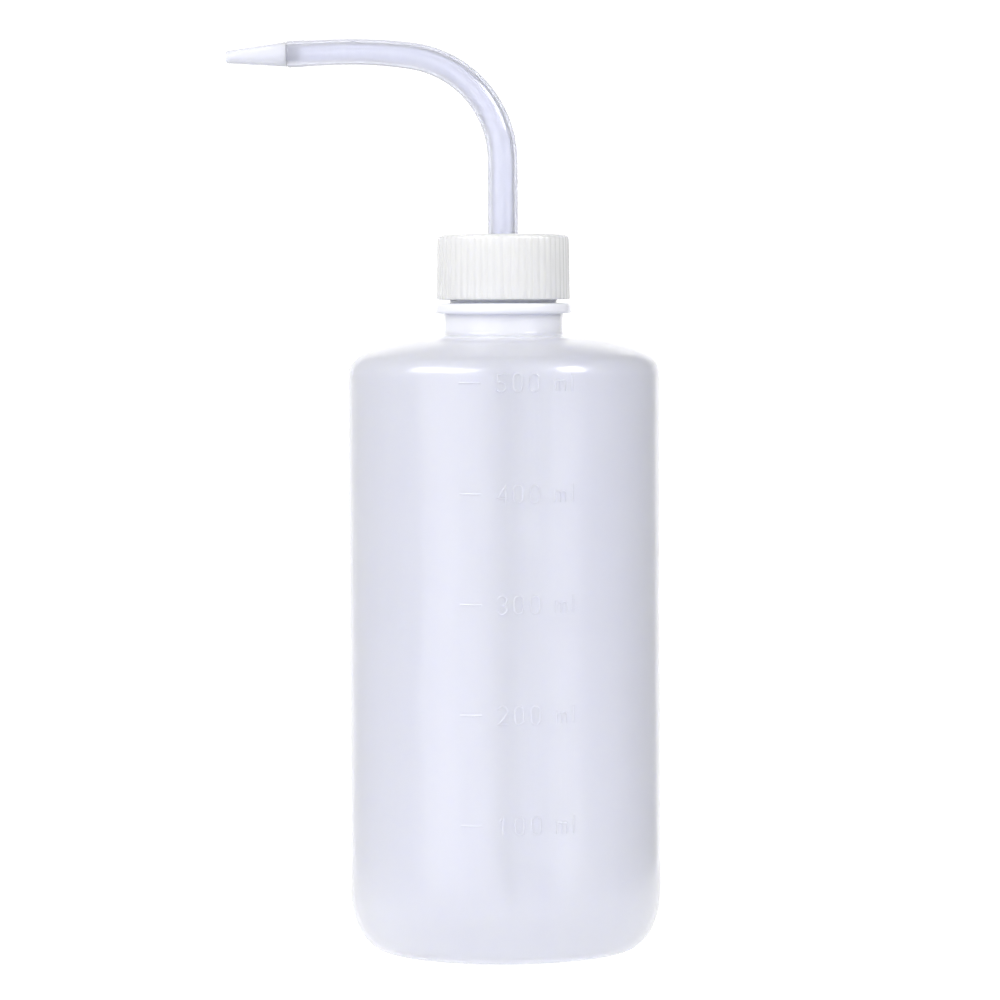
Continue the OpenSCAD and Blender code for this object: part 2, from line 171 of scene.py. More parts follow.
class TubeShape(PropertyGroup):
    """Sizes of the spout, the nozzle and the dip tube."""

    base: length("Base", "Radius of the spout up to the bend", SPOUT_HIGH.x)
    end: length("End", "Radius of the spout after its taper", 3.1 * MM)
    base_bore: length("Base bore", "Radius of the bore up to the bend", 2.3 * MM)
    end_bore: length("End bore", "Radius of the bore after the taper", 1.8 * MM)
    rise: length("Rise", "Height of the straight part above the flange", 19.7 * MM)
    bend: length("Bend", "Radius of the main bend", 25 * MM)
    bend_turn: angle("Bend turn", "Angle turned by the main bend", 82)
    sweep: length("Sweep", "Radius of the slack bend that follows", 104 * MM)
    sweep_turn: angle("Sweep turn", "Angle turned by the slack bend", 10.5)
    taper: length("Taper", "Length of the taper from the start of the bend", 44 * MM)
    run: length("Run", "Length of the straight run to the nozzle", 10.5 * MM)
    swell: length("Swell", "How much the spout's radius swells over the nozzle", 0.1 * MM)
    nozzle: length("Nozzle", "Length of the nozzle's cone", 14.4 * MM)
    nozzle_base: length("Nozzle base", "Radius of the cone at the spout", 2.95 * MM)
    nozzle_end: length("Nozzle end", "Radius of the cone at its end", 1.5 * MM)
    outlet: length("Outlet", "Radius of the outlet", 0.6 * MM)
    spigot: length("Spigot", "Length of the nozzle's spigot", 3 * MM)
    dip: length("Dip tube", "Radius of the dip tube", DIP_HIGH.x)
    dip_bore: length("Dip bore", "Radius of the dip tube's bore", 2 * MM)
    dip_cut: angle("Dip cut", "Slant of the cut at the dip tube's lower end", 35)


class Finishes(PropertyGroup):
    """Colours of the plastics."""

    bottle: tint("Thin wall", "Milky plastic of the bottle where the wall is thin", (0.855, 0.87, 0.98))
    neck: tint("Thick wall", "Milky plastic of the bottle where the wall is thick", (0.83, 0.845, 0.955))
    cap: tint("Cap", "Plastic of the cap and the plug", (0.965, 0.98, 1.0))
    tube: tint("Tube", "Plastic of the spout, nozzle and dip tube", (0.82, 0.835, 0.935))
    foam: tint("Foam", "Foamed plastic of the liner", (0.92, 0.92, 0.91))


class Studio(PropertyGroup):
    """The camera, the floor and the light."""

    distance: length("Distance", "From the bottle's axis to the camera", 1.05)
    height: length("Height", "Height of the camera", 156.3 * MM)
    aside: length("Aside", "How far the camera stands to the left", 1 * MM)
    tilt: angle("Tilt", "Angle that the camera looks down", 2.71)
    roll: angle("Roll", "Angle that the camera leans", -0.258)
    lens: amount("Lens", "Focal length in millimetres", 159.2)
    key: amount("Key", "Power of the high left light", 9.4)
    fill: amount("Fill", "Power of the high right light", 6.2)
    strips: amount("Strips", "Radiance of the low strips beside the camera", 1.0)
    sky: amount("Sky", "Strength of the light from all round", 1.0)


GROUPS = {
    "wb_bottle": BottleShape,
    "wb_marks": MarkShape,
    "wb_thread": ThreadShape,
    "wb_closure": ClosureShape,
    "wb_tubes": TubeShape,
    "wb_finishes": Finishes,
    "wb_studio": Studio,
}

# How finely the pieces are made.
TURNED_STEPS = 192
RING_SIDES = 16
SEAT_GAP = 0.02 * MM
RUN_GAP = 0.03 * MM


# ---------------------------------------------------------------- shapes


def polar(radius, turn):
    """The x and y of a point at a radius and an angle."""
    return radius * math.cos(turn), radius * math.sin(turn)


def arc(centre, radius, start, end, steps):
    """Points along an arc of a circle or, from a pair of radii, an ellipse. Angles in degrees."""
    wide, high = radius if isinstance(radius, tuple) else (radius, radius)
    turns = [math.radians(start + (end - start) * i / steps) for i in range(steps + 1)]
    return [(centre[0] + wide * math.cos(t), centre[1] + high * math.sin(t)) for t in turns]


def new_piece(name, mesh):
    """An object for a mesh, in the scene, at the origin."""
    piece = bpy.data.objects.new(name, mesh)
    bpy.context.scene.collection.objects.link(piece)
    return piece


def smooth(mesh, angle=math.radians(32)):
    """Smooth shading, broken only where the surface turns sharply."""
    for face in mesh.polygons:
        face.use_smooth = True
    mesh.set_sharp_from_angle(angle=angle)


def settle(piece):
    """Applies a piece's modifiers."""
    graph = bpy.context.evaluated_depsgraph_get()
    made = bpy.data.meshes.new_from_object(piece.evaluated_get(graph))
    old = piece.data
    piece.modifiers.clear()
    piece.data = made
    if old.users == 0:
        (bpy.data.curves if isinstance(old, bpy.types.Curve) else bpy.data.meshes).remove(old)
    made.name = piece.name
    return piece


def turned(name, outline, edge, steps=TURNED_STEPS):
    """A shape turned about Z from its outline of (radius, height), which runs down the outside."""
    ends_meet = outline[0][0] > 0
    mesh = bpy.data.meshes.new(name)
    links = [(i, i + 1) for i in range(len(outline) - 1)]
    if ends_meet:
        links.append((len(outline) - 1, 0))
    mesh.from_pydata([(r, 0, z) for r, z in outline], links, [])
    piece = new_piece(name, mesh)
    screw = piece.modifiers.new("Turn", "SCREW")
    screw.axis = "Z"
    screw.angle = math.tau
    screw.steps = screw.render_steps = steps
    screw.use_merge_vertices = True
    screw.merge_threshold = 1e-6
    screw.use_smooth_shade = True
    bevel = piece.modifiers.new("Edges", "BEVEL")
    bevel.limit_method = "ANGLE"
    bevel.angle_limit = math.radians(40)
    bevel.width = edge
    bevel.segments = 2
    bevel.use_clamp_overlap = True
    return piece


def grid_mesh(name, rows, capped=False):
    """A mesh of quads from closed rows of points, with its ends capped or joined to each other."""
    count = len(rows[0])
    faces = []
    for i in range(len(rows) - 1 if capped else len(rows)):
        below, above = i * count, (i + 1) % len(rows) * count
        for k in range(count):
            after = (k + 1) % count
            faces.append((below + k, below + after, above + after, above + k))
    if capped:
        last = (len(rows) - 1) * count
        faces += [tuple(range(count)), tuple(last + k for k in reversed(range(count)))]
    mesh = bpy.data.meshes.new(name)
    mesh.from_pydata([p for row in rows for p in row], [], faces)
    return mesh


def outwards(mesh, merge=0):
    """Turns a closed mesh's faces outwards, after merging points nearer than a distance."""
    work = bmesh.new()
    work.from_mesh(mesh)
    if merge:
        bmesh.ops.remove_doubles(work, verts=work.verts, dist=merge)
    bmesh.ops.recalc_face_normals(work, faces=work.faces)
    work.to_mesh(mesh)
    work.free()


def subdivide(piece, levels):
    """A Subdivision Surface with the same levels in the view and the render."""
    modifier = piece.modifiers.new("Round", "SUBSURF")
    modifier.levels = modifier.render_levels = levels
    return piece


def even(piece):
    """Evens out the shading after a piece's last modifier."""
    piece.modifiers.new("Even shading", "WEIGHTED_NORMAL").keep_sharp = True
    return piece


def cage_radius(radius, sides):
    """The radius of a ring of points whose subdivided circle has the given radius."""
    return radius * 3 / (2 + math.cos(math.tau / sides))


def fuse(piece, *helpers):
    """Joins settled helpers into a settled piece as one skin, and removes them."""
    for helper in helpers:
        union = piece.modifiers.new("Fuse", "BOOLEAN")
        union.operation = "UNION"
        union.solver = "EXACT"
        union.use_self = True
        union.object = helper
        settle(piece)
        mesh = helper.data
        bpy.data.objects.remove(helper)
        bpy.data.meshes.remove(mesh)
    smooth(piece.data)


def place(piece, matrix):
    """Settles a piece made at its own origin and moves its mesh to its place."""
    settle(piece)
    piece.data.transform(matrix)
    smooth(piece.data)


def hand_over(piece, body, nodes, material):
    """Gives a finished piece its material, its body and the nodes that it stands for."""
    piece.data.materials.clear()
    piece.data.materials.append(material)
    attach(piece, body)
    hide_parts(*nodes)


def helix_rib(name, wall, depth, start, turns, shape):
    """A thread: a rounded rib that winds up a wall of the given radius and runs out at its ends."""
    per_turn = 24
    steps = math.ceil(turns * per_turn)
    fade = 4
    sign = 1 if depth > 0 else -1
    rows = []
    for i in range(steps + 1):
        turn = math.tau * turns * i / steps
        height = start + shape.pitch * turns * i / steps
        full = min(1, (i + 0.2) / fade, (steps - i + 0.2) / fade)
        inner = wall - sign * shape.sunk
        outer = inner + (wall + depth - inner) * full
        middle = (inner + outer) / 2
        half_root, half_crest = shape.root / 2, shape.crest / 2
        section = [
            (inner, -half_root), (middle, -(half_root + half_crest) / 2), (outer, -half_crest),
            (outer, half_crest), (middle, (half_root + half_crest) / 2), (inner, half_root),
        ]
        rows.append([(*polar(r, turn), height + z) for r, z in section])
    mesh = grid_mesh(name, rows, capped=True)
    outwards(mesh)
    return settle(subdivide(new_piece(name, mesh), 2))


def pipe(name, stations):
    """A hollow tube in the XZ plane. A station is (centre x, centre z, lean, outer, bore)."""
    rows = []

    def ring(x, z, lean, radius):
        wide = cage_radius(radius, RING_SIDES)
        turns = [math.tau * k / RING_SIDES for k in range(RING_SIDES)]
        return [
            (
                x + wide * math.cos(t) * math.cos(lean),
                wide * math.sin(t),
                z + wide * math.cos(t) * math.sin(lean),
            )
            for t in turns
        ]

    for x, z, lean, outer, _ in stations:
        rows.append(ring(x, z, lean, outer))
    for x, z, lean, _, bore in reversed(stations):
        rows.append(ring(x, z, lean, bore))
    mesh = grid_mesh(name, rows)
    outwards(mesh)
    return even(subdivide(new_piece(name, mesh), 2))


# ---------------------------------------------------------------- levels


def bottle_levels(shape):
    """The centres and heights that follow from the bottle's sizes."""
    turn = shape.corner_turn
    corner = (shape.radius - shape.corner, shape.shoulder)
    meet = tuple(map(sum, zip(corner, polar(shape.corner, turn))))
    dome_radius = (meet[0] - shape.neck - shape.fillet) / math.cos(turn)
    dome = (meet[0] - dome_radius * math.cos(turn), meet[1] - dome_radius * math.sin(turn))
    dome_top = dome[1] + dome_radius
    bead_top = shape.rim - shape.finish_height
    return {
        "corner": corner,
        "dome": dome,
        "dome_radius": dome_radius,
        "fillet": (shape.neck + shape.fillet, dome_top + shape.fillet),
        "bead_top": bead_top,
        "bead_bottom": bead_top - shape.bead_height,
        "foot_outer": shape.radius - shape.base_width,
        "foot_inner": shape.radius - shape.base_width - shape.foot,
    }


def thread_start(scene):
    """The height where the neck's thread starts."""
    thread = scene.wb_thread
    return scene.wb_bottle.rim - thread.neck_turns * thread.pitch - thread.below_rim


# ---------------------------------------------------------------- materials


def empty_material(name):
    """A new material, with the nodes and the links of its empty tree."""
    material = bpy.data.materials.new(name)
    material.use_nodes = True
    tree = material.node_tree
    tree.nodes.clear()
    return material, tree.nodes, tree.links


def frame_nodes(nodes, label, places):
    """Puts nodes that make one effect in a labelled frame, each at its location."""
    group = nodes.new("NodeFrame")
    group.label = label
    for node, place_at in places:
        node.location = place_at
        node.parent = group


def tone(colour, share=1.0):
    """A colour with alpha, dimmed to a share of itself."""
    return (*[c * share for c in colour], 1)


def plastic_skin(nodes, links, coordinates, plastic, grain, waves):
    """Relief of a mould: a fine skin on slow waves."""
    fine = nodes.new("ShaderNodeTexNoise")
    fine.label = "Mould skin"
    fine.inputs["Scale"].default_value = 1400.0
    fine.inputs["Detail"].default_value = 2.0
    links.new(coordinates.outputs["Object"], fine.inputs["Vector"])
    wave = nodes.new("ShaderNodeTexNoise")
    wave.label = "Slow waves"
    wave.inputs["Scale"].default_value = 38.0
    wave.inputs["Detail"].default_value = 1.0
    links.new(coordinates.outputs["Object"], wave.inputs["Vector"])
    skin = nodes.new("ShaderNodeBump")
    skin.label = "Skin"
    skin.inputs["Strength"].default_value = 0.4
    skin.inputs["Distance"].default_value = grain
    links.new(fine.outputs["Fac"], skin.inputs["Height"])
    swell = nodes.new("ShaderNodeBump")
    swell.label = "Waves in the wall"
    swell.inputs["Strength"].default_value = 0.3
    swell.inputs["Distance"].default_value = waves
    links.new(wave.outputs["Fac"], swell.inputs["Height"])
    links.new(skin.outputs["Normal"], swell.inputs["Normal"])
    links.new(swell.outputs["Normal"], plastic.inputs["Normal"])
    links.new(swell.outputs["Normal"], plastic.inputs["Coat Normal"])
    frame_nodes(nodes, "Relief: mould skin and slow waves", [
        (fine, (-440, -380)), (wave, (-440, -640)), (skin, (-60, -380)), (swell, (200, -380)),
    ])


def blown_plastic(name, thin, thick, top):
    """Milky blown plastic: hazier and whiter where the wall is thick, with faint flow streaks.

    The wall is thick in the base and, from the shoulder up to top, in the neck.
    """
    material, nodes, links = empty_material(name)

    output = nodes.new("ShaderNodeOutputMaterial")
    output.label = "Surface"
    output.location = (900, 0)
    plastic = nodes.new("ShaderNodeBsdfPrincipled")
    plastic.label = "Milky plastic"
    plastic.location = (600, 0)
    plastic.inputs["IOR"].default_value = 1.5
    plastic.inputs["Subsurface Weight"].default_value = 0.85
    plastic.inputs["Subsurface Radius"].default_value = (1.0, 1.0, 1.15)
    plastic.inputs["Subsurface Scale"].default_value = 2.5 * MM
    plastic.inputs["Coat Weight"].default_value = 0.7
    plastic.inputs["Coat Roughness"].default_value = 0.09
    links.new(plastic.outputs["BSDF"], output.inputs["Surface"])

    coordinates = nodes.new("ShaderNodeTexCoord")
    coordinates.label = "Place on the piece"
    coordinates.location = (-1150, 0)

    height = nodes.new("ShaderNodeSeparateXYZ")
    height.label = "Height"
    links.new(coordinates.outputs["Object"], height.inputs["Vector"])
    share = nodes.new("ShaderNodeMath")
    share.label = "Share of the height"
    share.operation = "DIVIDE"
    share.inputs[1].default_value = top
    links.new(height.outputs["Z"], share.inputs[0])
    wall = nodes.new("ShaderNodeValToRGB")
    wall.label = "Thin wall to thick wall"
    stops = wall.color_ramp.elements
    stops[0].position, stops[0].color = 0.0, (0.22, 0.22, 0.22, 1)
    stops[1].position, stops[1].color = 0.1, (0, 0, 0, 1)
    for position, level in ((0.845, 0.0), (0.868, 0.4), (0.885, 1.0)):
        stops.new(position).color = (level, level, level, 1)
    links.new(share.outputs["Value"], wall.inputs["Fac"])
    clear = nodes.new("ShaderNodeMapRange")
    clear.label = "Light that goes through"
    clear.inputs["To Min"].default_value = 0.6
    clear.inputs["To Max"].default_value = 0.2
    links.new(wall.outputs["Color"], clear.inputs["Value"])
    links.new(clear.outputs["Result"], plastic.inputs["Transmission Weight"])
    frame_nodes(nodes, "Wall thickness by height", [
        (height, (-900, 420)), (share, (-720, 420)), (wall, (-520, 460)), (clear, (100, 460)),
    ])

    stretch = nodes.new("ShaderNodeMapping")
    stretch.label = "Stretch along the flow"
    stretch.inputs["Scale"].default_value = (1.0, 1.0, 0.1)
    links.new(coordinates.outputs["Object"], stretch.inputs["Vector"])
    flow = nodes.new("ShaderNodeTexNoise")
    flow.label = "Flow of the melt"
    flow.inputs["Scale"].default_value = 85.0
    flow.inputs["Detail"].default_value = 3.0
    links.new(stretch.outputs["Vector"], flow.inputs["Vector"])
    streaks = nodes.new("ShaderNodeValToRGB")
    streaks.label = "Faint streaks"
    streaks.color_ramp.elements[0].position = 0.3
    streaks.color_ramp.elements[0].color = (*[c * 0.97 for c in thin[:2]], thin[2] * 0.985, 1)
    streaks.color_ramp.elements[1].position = 0.72
    streaks.color_ramp.elements[1].color = tone(thin)
    links.new(flow.outputs["Fac"], streaks.inputs["Fac"])
    mix = nodes.new("ShaderNodeMix")
    mix.label = "Whiter where thick"
    mix.data_type = "RGBA"
    mix.inputs[7].default_value = tone(thick)
    links.new(wall.outputs["Color"], mix.inputs[0])
    links.new(streaks.outputs["Color"], mix.inputs[6])
    links.new(mix.outputs[2], plastic.inputs["Base Color"])
    frame_nodes(nodes, "Colour: streaks and thickness", [
        (stretch, (-900, 160)), (flow, (-700, 160)), (streaks, (-480, 160)), (mix, (-140, 200)),
    ])

    cloud = nodes.new("ShaderNodeTexNoise")
    cloud.label = "Patchy haze"
    cloud.inputs["Scale"].default_value = 160.0
    cloud.inputs["Detail"].default_value = 2.0
    links.new(coordinates.outputs["Object"], cloud.inputs["Vector"])
    spread = nodes.new("ShaderNodeMapRange")
    spread.label = "Haze to roughness"
    spread.inputs["To Min"].default_value = 0.26
    spread.inputs["To Max"].default_value = 0.34
    links.new(cloud.outputs["Fac"], spread.inputs["Value"])
    links.new(spread.outputs["Result"], plastic.inputs["Roughness"])
    frame_nodes(nodes, "Haze inside the wall", [(cloud, (-440, -80)), (spread, (-220, -80))])
    plastic_skin(nodes, links, coordinates, plastic, grain=0.01 * MM, waves=0.2 * MM)
    return material


def moulded_plastic(name, colour, haze, clear, depth, grain):
    """Injection-moulded plastic: an even tint with a few cloudy patches and a glossy skin.

    clear is the share of light that goes through, depth how far the rest scatters inside,
    and grain the height of the skin's texture.
    """
    material, nodes, links = empty_material(name)

    output = nodes.new("ShaderNodeOutputMaterial")
    output.label = "Surface"
    output.location = (900, 0)
    plastic = nodes.new("ShaderNodeBsdfPrincipled")
    plastic.label = "Clearer plastic"
    plastic.location = (600, 0)
    plastic.inputs["IOR"].default_value = 1.49
    plastic.inputs["Transmission Weight"].default_value = clear
    plastic.inputs["Subsurface Weight"].default_value = 0.8
    plastic.inputs["Subsurface Radius"].default_value = (1.0, 1.0, 1.1)
    plastic.inputs["Subsurface Scale"].default_value = depth
    plastic.inputs["Coat Weight"].default_value = 0.5
    plastic.inputs["Coat Roughness"].default_value = 0.1
    links.new(plastic.outputs["BSDF"], output.inputs["Surface"])

    coordinates = nodes.new("ShaderNodeTexCoord")
    coordinates.label = "Place on the piece"
    coordinates.location = (-900, 0)
    patch = nodes.new("ShaderNodeTexNoise")
    patch.label = "Cloudy patches"
    patch.inputs["Scale"].default_value = 120.0
    patch.inputs["Detail"].default_value = 2.0
    links.new(coordinates.outputs["Object"], patch.inputs["Vector"])
    shade = nodes.new("ShaderNodeValToRGB")
    shade.label = "Tint"
    shade.color_ramp.elements[0].position = 0.35
    shade.color_ramp.elements[0].color = tone(colour, 0.985)
    shade.color_ramp.elements[1].position = 0.65
    shade.color_ramp.elements[1].color = tone(colour)
    links.new(patch.outputs["Fac"], shade.inputs["Fac"])
    links.new(shade.outputs["Color"], plastic.inputs["Base Color"])
    spread = nodes.new("ShaderNodeMapRange")
    spread.label = "Haze to roughness"
    spread.inputs["To Min"].default_value = haze * 0.85
    spread.inputs["To Max"].default_value = haze * 1.15
    links.new(patch.outputs["Fac"], spread.inputs["Value"])
    links.new(spread.outputs["Result"], plastic.inputs["Roughness"])
    frame_nodes(nodes, "Tint and haze in patches", [
        (patch, (-640, 160)), (shade, (-400, 220)), (spread, (-400, -60)),
    ])
    plastic_skin(nodes, links, coordinates, plastic, grain, waves=0.06 * MM)
    return material


def drawn_plastic(name, colour, haze, clear, depth, along):
    """Clearer extruded plastic, with fine lines drawn along the tube."""
    material, nodes, links = empty_material(name)

    output = nodes.new("ShaderNodeOutputMaterial")
    output.label = "Surface"
    output.location = (900, 0)
    plastic = nodes.new("ShaderNodeBsdfPrincipled")
    plastic.label = "Drawn plastic"
    plastic.location = (600, 0)
    plastic.inputs["IOR"].default_value = 1.5
    plastic.inputs["Transmission Weight"].default_value = clear
    plastic.inputs["Subsurface Weight"].default_value = 0.8
    plastic.inputs["Subsurface Radius"].default_value = (1.0, 1.0, 1.15)
    plastic.inputs["Subsurface Scale"].default_value = depth
    plastic.inputs["Coat Weight"].default_value = 0.5
    plastic.inputs["Coat Roughness"].default_value = 0.08
    links.new(plastic.outputs["BSDF"], output.inputs["Surface"])

    place_node = nodes.new("ShaderNodeTexCoord")
    place_node.label = "Place on the piece"
    place_node.location = (-900, 0)
    stretch = nodes.new("ShaderNodeMapping")
    stretch.label = "Stretch along the tube"
    stretch.location = (-660, 120)
    stretch.inputs["Scale"].default_value = along
    links.new(place_node.outputs["Object"], stretch.inputs["Vector"])

    streak = nodes.new("ShaderNodeTexNoise")
    streak.label = "Draw lines"
    streak.inputs["Scale"].default_value = 900.0
    streak.inputs["Detail"].default_value = 2.0
    links.new(stretch.outputs["Vector"], streak.inputs["Vector"])
    shade = nodes.new("ShaderNodeValToRGB")
    shade.label = "Faint streaks"
    shade.color_ramp.elements[0].position = 0.3
    shade.color_ramp.elements[0].color = tone(colour, 0.97)
    shade.color_ramp.elements[1].position = 0.7
    shade.color_ramp.elements[1].color = tone(colour)
    links.new(streak.outputs["Fac"], shade.inputs["Fac"])
    links.new(shade.outputs["Color"], plastic.inputs["Base Color"])
    frame_nodes(nodes, "Colour: streaks along the tube", [
        (streak, (-440, 220)), (shade, (-220, 260)),
    ])

    cloud = nodes.new("ShaderNodeTexNoise")
    cloud.label = "Patchy haze"
    cloud.inputs["Scale"].default_value = 220.0
    links.new(place_node.outputs["Object"], cloud.inputs["Vector"])
    spread = nodes.new("ShaderNodeMapRange")
    spread.label = "Haze to roughness"
    spread.inputs["To Min"].default_value = haze * 0.85
    spread.inputs["To Max"].default_value = haze * 1.15
    links.new(cloud.outputs["Fac"], spread.inputs["Value"])
    links.new(spread.outputs["Result"], plastic.inputs["Roughness"])
    frame_nodes(nodes, "Haze", [(cloud, (-440, -80)), (spread, (-220, -80))])

    relief = nodes.new("ShaderNodeBump")
    relief.label = "Drawn skin"
    relief.inputs["Strength"].default_value = 0.35
    relief.inputs["Distance"].default_value = 0.02 * MM
    links.new(streak.outputs["Fac"], relief.inputs["Height"])
    links.new(relief.outputs["Normal"], plastic.inputs["Normal"])
    frame_nodes(nodes, "Relief along the tube", [(relief, (100, -300))])
    return material


def foamed_plastic(name, colour):
    """Matt foamed plastic with fine open cells."""
    material, nodes, links = empty_material(name)

    output = nodes.new("ShaderNodeOutputMaterial")
    output.label = "Surface"
    output.location = (700, 0)
    foam = nodes.new("ShaderNodeBsdfPrincipled")
    foam.label = "Foamed plastic"
    foam.location = (400, 0)
    foam.inputs["Roughness"].default_value = 0.75
    foam.inputs["Subsurface Weight"].default_value = 0.4
    foam.inputs["Subsurface Radius"].default_value = (1.0, 1.0, 1.0)
    foam.inputs["Subsurface Scale"].default_value = 0.6 * MM
    links.new(foam.outputs["BSDF"], output.inputs["Surface"])

    place_node = nodes.new("ShaderNodeTexCoord")
    place_node.label = "Place on the piece"
    place_node.location = (-700, 0)
    cells = nodes.new("ShaderNodeTexVoronoi")
    cells.label = "Cells"
    cells.inputs["Scale"].default_value = 3500.0
    links.new(place_node.outputs["Object"], cells.inputs["Vector"])
    shade = nodes.new("ShaderNodeValToRGB")
    shade.label = "Cell walls"
    shade.color_ramp.elements[0].color = tone(colour, 0.93)
    shade.color_ramp.elements[1].color = tone(colour)
    links.new(cells.outputs["Distance"], shade.inputs["Fac"])
    links.new(shade.outputs["Color"], foam.inputs["Base Color"])
    relief = nodes.new("ShaderNodeBump")
    relief.label = "Open cells"
    relief.inputs["Strength"].default_value = 0.4
    relief.inputs["Distance"].default_value = 0.05 * MM
    links.new(cells.outputs["Distance"], relief.inputs["Height"])
    links.new(relief.outputs["Normal"], foam.inputs["Normal"])
    frame_nodes(nodes, "Foam cells", [
        (cells, (-480, 0)), (shade, (-240, 160)), (relief, (-60, -220)),
    ])
    return material


def floor_paper(name):
    """Pale paper that glows a little, so that it stays near white with a soft shadow."""
    material, nodes, links = empty_material(name)

    output = nodes.new("ShaderNodeOutputMaterial")
    output.label = "Surface"
    output.location = (500, 0)
    paper = nodes.new("ShaderNodeBsdfPrincipled")
    paper.label = "Pale paper"
    paper.location = (200, 0)
    paper.inputs["Base Color"].default_value = (0.4, 0.4, 0.4, 1)
    paper.inputs["Roughness"].default_value = 0.9
    paper.inputs["Specular IOR Level"].default_value = 0.0
    paper.inputs["Emission Color"].default_value = (1, 1, 1, 1)
    paper.inputs["Emission Strength"].default_value = 0.78
    links.new(paper.outputs["BSDF"], output.inputs["Surface"])
    return material


# ---------------------------------------------------------------- pieces


def figure_strokes(number, high, half):
    """Centre lines of a figure from 0 to 5, as (points, closed), with its corner at the origin."""
    top = high - half
    bow = high * 0.28 - half
    mid = bow + half
    if number == 0:
        loop = arc((mid, top - bow), bow, 0, 180, 10)
        loop += arc((mid, half + bow), bow, 180, 360, 10)
        return [(loop, True)]
    if number == 1:
        flag = 0.9 * MM
        return [([(mid - flag, top - flag), (mid, top), (mid, half)], False)]
    if number == 2:
        hook = arc((mid, top - bow), bow, 180, -30, 12)
        return [(hook + [(half, half), (2 * mid - half, half)], False)]
    if number == 3:
        quarter = (top - half) / 4
        upper = arc((mid, half + 3 * quarter), quarter, 160, -90, 12)
        lower = arc((mid, half + quarter), quarter, 90, -160, 12)
        return [(upper + lower[1:], False)]
    if number == 4:
        cross = 1.4 * MM
        post = [(1.7 * mid, half), (1.7 * mid, top)]
        return [(post + [(half, cross), (2.2 * mid - half, cross)], False)]
    belly = bow + 0.1 * MM
    round_part = arc((mid - 0.1 * MM, half + belly), belly, 130, -150, 12)
    spine = half + 0.2 * MM
    return [([(2 * mid - half, top), (spine, top), (spine, high * 0.5)] + round_part, False)]


def unit_strokes(high, half):
    """Centre lines of the unit, ml, with its corner at the origin."""
    bow = 0.6 * MM
    small = high * 0.68
    lines = [([(half, half), (half, small)], False)]
    for i in range(2):
        hoop = arc((half + bow + 2 * bow * i, small - bow - half), bow, 180, 0, 8)
        lines.append((hoop + [(half + 2 * bow * (i + 1), half)], False))
    last = half + 4 * bow + 1.5 * MM
    lines.append(([(last, half), (last, high - half)], False))
    return lines


def build_marks(shape, radius):
    """The graduations as one mesh of rounded strokes, half sunk in the wall."""
    curve = bpy.data.curves.new("graduations", "CURVE")
    curve.dimensions = "3D"
    half = shape.stroke / 2
    curve.bevel_depth = half
    curve.bevel_resolution = 2
    curve.use_fill_caps = True
    sunk = half - shape.relief

    def draw(strokes, x, z):
        for points, closed in strokes:
            fine = [points[0]]
            for a, b in zip(points, points[1:]):
                pieces = max(1, round(math.dist(a, b) / (0.7 * MM)))
                fine += [
                    (a[0] + (b[0] - a[0]) * i / pieces, a[1] + (b[1] - a[1]) * i / pieces)
                    for i in range(1, pieces + 1)
                ]
            if closed:
                fine = fine[:-1]
            line = curve.splines.new("POLY")
            line.points.add(len(fine) - 1)
            line.use_cyclic_u = closed
            for point, (u, v) in zip(line.points, fine):
                wide = x + u
                deep = math.sqrt((radius - sunk) ** 2 - wide**2)
                point.co = (wide, -deep, z + v, 1)

    for n in range(1, shape.count + 1):
        middle = shape.first + shape.step * (n - 1)
        foot = middle - shape.figure / 2
        tick_end = shape.start - shape.tick_gap
        draw([([(tick_end - shape.tick, 0), (tick_end, 0)], False)], 0, middle)
        for place_in_row in range(3):
            figure = n if place_in_row == 0 else 0
            strokes = figure_strokes(figure, shape.figure, half)
            draw(strokes, shape.start + shape.pitch * place_in_row, foot)
        unit_at = shape.start + shape.pitch * 3 + shape.unit_gap
        draw(unit_strokes(shape.figure, half), unit_at, foot)
    strokes_object = new_piece("graduations", curve)
    graph = bpy.context.evaluated_depsgraph_get()
    mesh = bpy.data.meshes.new_from_object(strokes_object.evaluated_get(graph))
    bpy.data.objects.remove(strokes_object)
    bpy.data.curves.remove(curve)
    outwards(mesh, merge=1e-6)
    mesh.name = "graduations"
    return new_piece("graduations", mesh)


